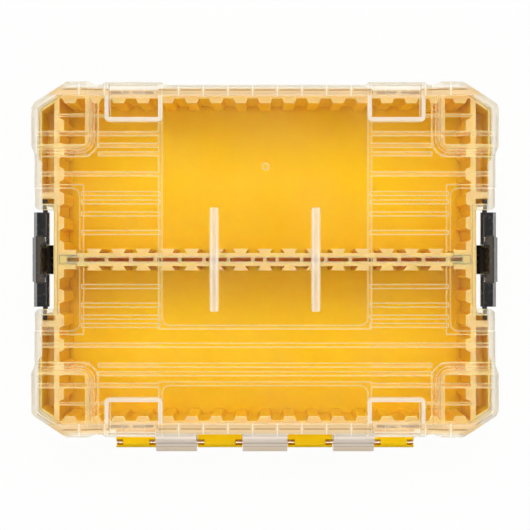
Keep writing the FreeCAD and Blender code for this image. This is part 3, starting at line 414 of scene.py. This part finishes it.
def pocket_depth(tree, spot):
    """How far a point lies inside the rounded outline of a stacking pocket."""
    half_width = (POCKET_X[1] - POCKET_X[0]) / 2
    off_middle = distance(tree, spot.x, POCKET_X[0] + half_width)
    past_x = minus(tree, off_middle, half_width - POCKET_RADIUS)
    past_y = minus(tree, POCKET_Y + POCKET_RADIUS, spot.y)
    flat_part = smallest(tree, largest(tree, past_x, past_y), 0.0)
    outside = total(tree, past_corner(tree, past_x, past_y), flat_part)
    return minus(tree, POCKET_RADIUS, outside)


def rim(tree, spot, hinge_out):
    """Painted light of the rim, which follows the sides, the ends and the cut corners."""
    bumper_in = ramp(tree, spot.y, *BUMPER_START, BUMPER_STEP, 0)
    to_side = minus(tree, HALF_LENGTH, spot.x, bumper_in)
    to_end = total(tree, minus(tree, HALF_DEPTH, spot.y), hinge_out)
    slant = math.hypot(*CORNER_CUT)
    to_cut = total(tree, product(tree, to_side, CORNER_CUT[1] / slant),
                   product(tree, to_end, CORNER_CUT[0] / slant),
                   -CORNER_CUT[0] * CORNER_CUT[1] / slant)
    return ramp(tree, smallest(tree, to_side, to_end, to_cut), *RIM_EDGE, RIM_WHITE, 0)


def pocket_frame(tree, depth):
    """Painted light of the upright wall round a stacking pocket."""
    return product(tree, ramp(tree, depth, -0.1, 0.2, 0, FRAME_WHITE),
                   ramp(tree, depth, *POCKET_WALL, 1, 0))


def wall_marks(tree, spot, depth, hinge_out):
    """Painted light as a band over the long walls, painted shade of the cells in them as dashes, and
    painted white ticks between.
    """
    outside_pocket = ramp(tree, depth, *POCKET_WALL, 1, 0.5)
    wall_end = LONG_WALL_Y + LONG_WALL_WIDTH
    band = product(tree, ramp(tree, spot.y, LONG_WALL_Y - 0.3, LONG_WALL_Y + 0.7, 0, WALL_WHITE),
                   outside_pocket,
                   ramp(tree, minus(tree, spot.y, hinge_out), wall_end - 0.5, wall_end + 0.5, 1, 0))
    cells = calculate(tree, "FRACT", calculate(tree, "DIVIDE", spot.x_side, CELL_PITCH))
    from_tick = distance(tree, cells, 0.5)
    from_line = distance(tree, spot.y, CELL_LINE_Y)
    clear_of_ends = product(tree, outside_pocket, outside_pocket, ramp(tree, spot.x, *CELL_REACH, 1, 0))
    cell_shade = product(tree, ramp(tree, from_tick, 0.06, 0.1, 0, 0.75), clear_of_ends,
                   ramp(tree, from_line, 0.25, 0.5, 1, 0))
    tick = product(tree, ramp(tree, from_tick, 0.015, 0.04, TICK_WHITE, 0), clear_of_ends,
                   ramp(tree, spot.y, LONG_WALL_Y, LONG_WALL_Y + 0.4, 0, 1))
    return band, cell_shade, tick


def pad(tree, spot):
    """White of the grained pad on the front of a stacking pocket."""
    grain = spread(tree, noise(tree, scale=1500, detail=3, roughness=0.7), *PAD_WHITE)
    return product(tree, inside(tree, spot.x, spot.y, PAD_X, PAD_Y, 0.1), grain)


def fin(tree, spot):
    """Painted light of the two fins, strongest along their sides, with a groove along the middle."""
    off_middle = distance(tree, spot.x, sum(FIN_X) / 2)
    ridges = total(tree, ramp(tree, off_middle, 0.1, 0.4, FIN_GROOVE, 0),
                   ramp(tree, off_middle, 0.8, 1.5, *FIN_WHITE))
    return product(tree, inside(tree, spot.x, spot.y, FIN_X, FIN_Y, 0.1), ridges)


def block_contours(tree, spot):
    """Painted highlight lines that follow the slope round a corner block."""
    past = [minus(tree, corner, place) for corner, place in zip(BLOCK_CORNER, (spot.x, spot.y))]
    away = past_corner(tree, *past)
    lines = [ramp(tree, distance(tree, away, reach), 0.15, 0.5, white, 0) for reach, white in BLOCK_LINES]
    before_wall = ramp(tree, spot.y, LONG_WALL_Y, LONG_WALL_Y + 1, 1, 0)
    return product(tree, largest(tree, *lines), before_wall)


def painted_warm_light(tree, spot):
    """Painted highlights, tinted by painted yellow light from the tray: edges, block slopes, ears, gate,
    steps and ribs.
    """
    edges = product(tree, edge_share(tree, 0.8 * MM, 3.0), EDGE_WHITE)
    window = inside(tree, spot.x, spot.y, EAR_WINDOW_X, EAR_WINDOW_Y, 0.3)
    ear = product(tree, inside(tree, spot.x, spot.y, EAR_X, EAR_Y, 0.5), minus(tree, 1.0, window),
                  EAR_WHITE)
    from_gate = radius_of(tree, spot.x, minus(tree, spot.y_side, GATE_Y))
    gate = ramp(tree, distance(tree, from_gate, GATE_RADIUS), 0.2, 0.5, GATE_WHITE, 0)
    steps = [product(tree, inside(tree, spot.x, spot.y_side, *band, 0.3), STEP_WHITE)
             for band in STEP_BANDS]
    ribs = [product(tree, inside(tree, spot.x, spot.y, *band, 0.2), RIB_WHITE) for band in RIB_BANDS]
    return largest(tree, edges, block_contours(tree, spot), ear, gate, *steps, *ribs)


def barrel_streaks(tree, spot):
    """Painted reflections across the hinge barrels, in streaks along the hinge."""
    across = calculate(tree, "DIVIDE", minus(tree, -BARREL_START, spot.y_side), BARREL_WIDTH)
    streaks = tree.nodes.new("ShaderNodeValToRGB")
    feed(tree, streaks, Fac=across)
    stops = streaks.color_ramp.elements
    while len(stops) < len(BARREL_STREAKS):
        stops.new(0.5)
    for stop, (position, tone) in zip(stops, BARREL_STREAKS):
        stop.position = position
        green = 0.93 - 0.08 * position
        blue = 0.86 - 0.2 * position
        stop.color = (tone, green * tone, blue * tone, 1)
    return streaks.outputs["Color"]


def clear_plastic():
    """Clear moulded plastic that lets lamp light through; painted white light stands on its edges and
    marks, beside its own haze and grained pads.
    """
    material = bpy.data.materials.new("lid_plastic")
    tree = empty_tree(material)
    shader = new_node(tree, "ShaderNodeBsdfPrincipled", IOR=1.47, Specular_Tint=LID_GLOSS)
    spot = spot_in_mm(tree)
    hinge_out = ramp(tree, spot.y_side, *HINGE_HALF_Y, HINGE_STEP, 0)
    depth = pocket_depth(tree, spot)
    wall_band, cell_shade, tick = wall_marks(tree, spot, depth, hinge_out)
    # Painted reflections on the hinge barrels
    barrel_glare = ramp(tree, spot.y_side, *HINGE_LINE, BARREL_WHITE, 0)
    haze = spread(tree, noise(tree, scale=30, detail=3), *HAZE_WHITE)
    # Painted light at the rim, pocket frames, long walls, ticks, fins and barrels, with the plastic's own
    # haze and grained pads
    cold = largest(tree, haze, rim(tree, spot, hinge_out), pocket_frame(tree, depth), wall_band, tick,
                   pad(tree, spot), fin(tree, spot), barrel_glare)
    # Painted highlights warmed by painted yellow light from the tray
    warm = painted_warm_light(tree, spot)
    warmth = product(tree, ramp(tree, warm, 0, 0.3, 0, 1), ramp(tree, cold, 0.02, 0.2, 1, 0))
    tint = colour_between(tree, warmth, COLD_WHITE, WARM_WHITE)
    # Painted light of the wall tops and painted shade of the cells, seen through the lid
    cream = product(tree, wall_band, ramp(tree, tick, 0.1, 0.5, 2.0, 0.5))
    tint = colour_between(tree, cream, tint, WALL_LIGHT_CREAM)
    tint = colour_between(tree, cell_shade, tint, CELL_SHADE_BROWN)
    tint = colour_between(tree, product(tree, barrel_glare, 1.5), tint, barrel_streaks(tree, spot))
    feed(tree, shader, Base_Color=tint,
         Transmission_Weight=minus(tree, 1.0, largest(tree, warm, cold)),
         Roughness=spread(tree, noise(tree, scale=60, detail=3), 0.01, 0.04),
         Normal=bump(tree, noise(tree, scale=140, detail=2), 0.04 * MM, 0.12))
    through = new_node(tree, "ShaderNodeBsdfTransparent", Color=LIGHT_THROUGH_LID)
    rays = tree.nodes.new("ShaderNodeLightPath")
    surface(tree, mixed(tree, rays.outputs["Is Shadow Ray"], shader.outputs["BSDF"],
                        through.outputs["BSDF"]))
    return material


def drawn_steel(name, bright, dull):
    """Drawn steel rod with a fine uneven tone."""
    material = bpy.data.materials.new(name)
    tree = empty_tree(material)
    shader = new_node(tree, "ShaderNodeBsdfPrincipled", Metallic=1.0)
    tone = spread(tree, noise(tree, scale=400, detail=4), 0, 1)
    feed(tree, shader, Base_Color=colour_between(tree, tone, bright, dull),
         Roughness=spread(tree, noise(tree, scale=900, detail=3), 0.24, 0.36))
    surface(tree, shader.outputs["BSDF"])
    return material


def with_end_slots(divider_mesh):
    """The divider with one more slot at each end, where it goes into its guides."""
    work = bmesh.new()
    size = Vector((END_SLOT_X[1] - END_SLOT_X[0], END_SLOT_WIDTH, 2 * END_SLOT_DEPTH)) * MM
    for side in (-1, 1):
        middle = Vector((side * sum(END_SLOT_X) / 2, CASE_MIDDLE_Y, RIM_HEIGHT)) * MM
        bmesh.ops.create_cube(work, size=1, matrix=Matrix.LocRotScale(middle, None, size))
    slot_mesh = bpy.data.meshes.new("end_slots")
    work.to_mesh(slot_mesh)
    work.free()
    slots = bpy.data.objects.new("end_slots", slot_mesh)
    blank = bpy.data.objects.new("divider_blank", divider_mesh.copy())
    for piece in (slots, blank):
        bpy.context.collection.objects.link(piece)
    cut = blank.modifiers.new("end_slots", "BOOLEAN")
    cut.operation = "DIFFERENCE"
    cut.solver = "EXACT"
    cut.object = slots
    depsgraph = bpy.context.evaluated_depsgraph_get()
    result = bpy.data.meshes.new_from_object(blank.evaluated_get(depsgraph))
    for piece in (slots, blank):
        spare_mesh = piece.data
        bpy.data.objects.remove(piece)
        bpy.data.meshes.remove(spare_mesh)
    return result


def dress(node, body, material):
    """Piece that stands for a node: whole flat faces, sharp edges kept, round areas shaded smooth."""
    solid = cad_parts[node].data
    if node == "centre_divider":
        solid = with_end_slots(solid)
    work = bmesh.new()
    work.from_mesh(solid)
    bmesh.ops.remove_doubles(work, verts=work.verts, dist=0.002 * MM)
    flat_angle = math.radians(0.4)
    bmesh.ops.dissolve_limit(work, angle_limit=flat_angle, verts=work.verts, edges=work.edges)
    bmesh.ops.recalc_face_normals(work, faces=work.faces)
    for face in work.faces:
        face.smooth = True
    sharp_angle = math.radians(20)
    for edge in work.edges:
        edge.smooth = len(edge.link_faces) == 2 and edge.calc_face_angle() < sharp_angle
    mesh = bpy.data.meshes.new(f"{node}_piece")
    work.to_mesh(mesh)
    work.free()
    mesh.materials.append(material)
    piece = bpy.data.objects.new(f"{node}_piece", mesh)
    bpy.context.collection.objects.link(piece)
    flat = piece.modifiers.new("flat_faces", "WEIGHTED_NORMAL")
    flat.weight = 100
    flat.keep_sharp = True
    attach(piece, body)
    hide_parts(node)


def dress_all():
    tray = tray_plastic()
    latch = latch_plastic()
    steel = drawn_steel("pin_steel", *PIN_STEEL)
    # The latch pins get a darker copy of the steel: painted shade.
    shaded_steel = drawn_steel("shaded_steel", *SHADED_STEEL)
    dress("base_tray", "base", tray)
    dress("centre_divider", "base", tray)
    dress("lid", "lid", clear_plastic())
    for side in ("left", "right"):
        dress(f"{side}_latch", f"{side}_latch", latch)
        dress(f"{side}_latch_pins", f"{side}_latch", shaded_steel)
    dress("hinge_pin", "base", steel)


def build_floor():
    """Pale floor that the camera, gloss and clear plastic see as white, with a faint shadow."""
    reach = 3.0
    below = -0.2 * MM
    corners = [(-reach, -reach, below), (reach, -reach, below), (reach, reach, below),
               (-reach, reach, below)]
    mesh = bpy.data.meshes.new("floor")
    mesh.from_pydata(corners, [], [(0, 1, 2, 3)])
    floor = bpy.data.objects.new("floor", mesh)
    bpy.context.collection.objects.link(floor)
    material = bpy.data.materials.new("floor")
    tree = empty_tree(material)
    paint = new_node(tree, "ShaderNodeBsdfDiffuse", Color=(0.95, 0.95, 0.95, 1))
    white = new_node(tree, "ShaderNodeEmission", Color=(1, 1, 1, 1), Strength=1.0)
    rays = tree.nodes.new("ShaderNodeLightPath")
    kinds = [rays.outputs[kind] for kind in ("Is Camera Ray", "Is Glossy Ray", "Is Transmission Ray")]
    white_share = product(tree, largest(tree, *kinds), 0.95)
    surface(tree, mixed(tree, white_share, paint.outputs["BSDF"], white.outputs["Emission"]))
    mesh.materials.append(material)


def build_world():
    """Dim grey surroundings, dimmer overhead, behind a backdrop that only the camera sees as white."""
    world = bpy.data.worlds.new("studio")
    bpy.context.scene.world = world
    world.use_nodes = True
    tree = world.node_tree
    surroundings = tree.nodes["Background"]
    split = tree.nodes.new("ShaderNodeSeparateXYZ")
    feed(tree, split, Vector=tree.nodes.new("ShaderNodeTexCoord").outputs["Generated"])
    level = ramp(tree, split.outputs["Z"], 0.55, 0.9, SURROUND_SIDES, SURROUND_OVERHEAD)
    feed(tree, surroundings, Strength=level)
    white = new_node(tree, "ShaderNodeBackground", Color=(1, 1, 1, 1), Strength=1.0)
    rays = tree.nodes.new("ShaderNodeLightPath")
    backdrop = mixed(tree, rays.outputs["Is Camera Ray"], surroundings.outputs["Background"],
                     white.outputs["Background"])
    feed(tree, tree.nodes["World Output"], Surface=backdrop)


def build_lamp(name, place, watts):
    lamp = bpy.data.lights.new(name, "AREA")
    lamp.shape = "SQUARE"
    lamp.size = LAMP_SIZE
    lamp.energy = watts
    holder = bpy.data.objects.new(name, lamp)
    holder.location = place
    holder.rotation_euler = (Vector(LAMP_AIM) - Vector(place)).to_track_quat("-Z", "Y").to_euler()
    bpy.context.collection.objects.link(holder)


def build_camera():
    """Straight down from above the lid, on the middle of the photograph."""
    picture_width = 300.2 * MM
    camera_height = 750 * MM
    lid_top = 57.5 * MM
    picture_middle_y = 1.8 * MM
    camera = bpy.data.cameras.new("camera")
    camera.sensor_width = 36
    camera.lens = camera.sensor_width * camera_height / picture_width
    camera.clip_start = 0.01
    camera.clip_end = 20
    holder = bpy.data.objects.new("camera", camera)
    holder.location = (0, picture_middle_y, lid_top + camera_height)
    bpy.context.collection.objects.link(holder)
    bpy.context.scene.camera = holder


dress_all()
build_floor()
build_world()
for lamp_name, lamp_place, lamp_watts in LAMPS:
    build_lamp(lamp_name, lamp_place, lamp_watts)
build_camera()
bpy.context.scene.view_settings.view_transform = "Standard"
